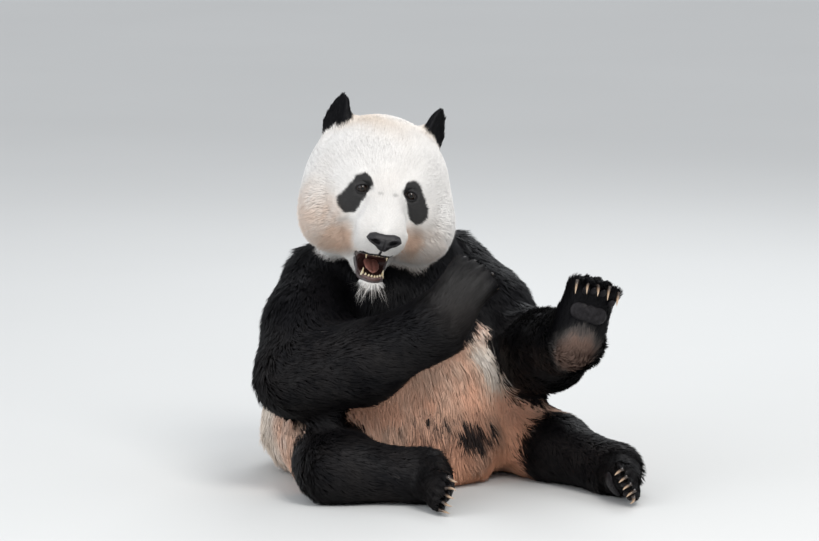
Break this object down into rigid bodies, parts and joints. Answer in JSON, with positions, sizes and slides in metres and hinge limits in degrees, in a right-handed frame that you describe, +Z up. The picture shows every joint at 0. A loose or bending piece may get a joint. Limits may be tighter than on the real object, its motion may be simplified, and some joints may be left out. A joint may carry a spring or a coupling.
{
  "type": "giant panda figure",
  "caption": "Life-size seated giant panda with raised forepaws and an open mouth, a still display model that rests on its rump and folded legs.",
  "frame": {"origin": "middle of the animal's extent seen from above, on the ground that it sits on", "axes": "+Z up; the face looks along -Y and a little to +X; +X is the animal's left. Row axes are not symmetry axes: the trunk is turned 33 degrees from the face's way."},
  "size_m": [0.7584, 0.7774, 0.764],
  "materials": {
    "black_fur": "dense woolly black coat",
    "white_fur": "dense woolly cream-white coat",
    "tan_fur": "woolly coat stained tan to reddish brown",
    "nose_leather": "moist pebbled bare skin",
    "claw_horn": "satin pale horn",
    "eye": "wet dark brown",
    "tongue": "moist pink skin"
  },
  "bodies": {
    "root": {"abdomen": "tan_fur", "chest": "black_fur", "neck": "black_fur", "tail": "white_fur", "eye_right": "eye", "eye_left": "eye", "head": "white_fur", "jaw": "white_fur", "tongue": "tongue", "nose": "nose_leather", "ear_right": "black_fur", "ear_left": "black_fur", "thigh_right": "white_fur", "shin_right": "black_fur", "hindpaw_right": "black_fur", "claw_hindpaw_right_1": "claw_horn", "claw_hindpaw_right_2": "claw_horn", "claw_hindpaw_right_3": "claw_horn", "claw_hindpaw_right_4": "claw_horn", "claw_hindpaw_right_5": "claw_horn", "thigh_left": "white_fur", "shin_left": "black_fur", "hindpaw_left": "black_fur", "claw_hindpaw_left_1": "claw_horn", "claw_hindpaw_left_2": "claw_horn", "claw_hindpaw_left_3": "claw_horn", "claw_hindpaw_left_4": "claw_horn", "claw_hindpaw_left_5": "claw_horn", "upper_arm_right": "black_fur", "forearm_right": "black_fur", "forepaw_right": "black_fur", "claw_forepaw_right_1": "claw_horn", "claw_forepaw_right_2": "claw_horn", "claw_forepaw_right_3": "claw_horn", "claw_forepaw_right_4": "claw_horn", "claw_forepaw_right_5": "claw_horn", "upper_arm_left": "black_fur", "forearm_left": "black_fur", "forepaw_left": "black_fur", "claw_forepaw_left_1": "claw_horn", "claw_forepaw_left_2": "claw_horn", "claw_forepaw_left_3": "claw_horn", "claw_forepaw_left_4": "claw_horn", "claw_forepaw_left_5": "claw_horn"}
  },
  "joints": []
}
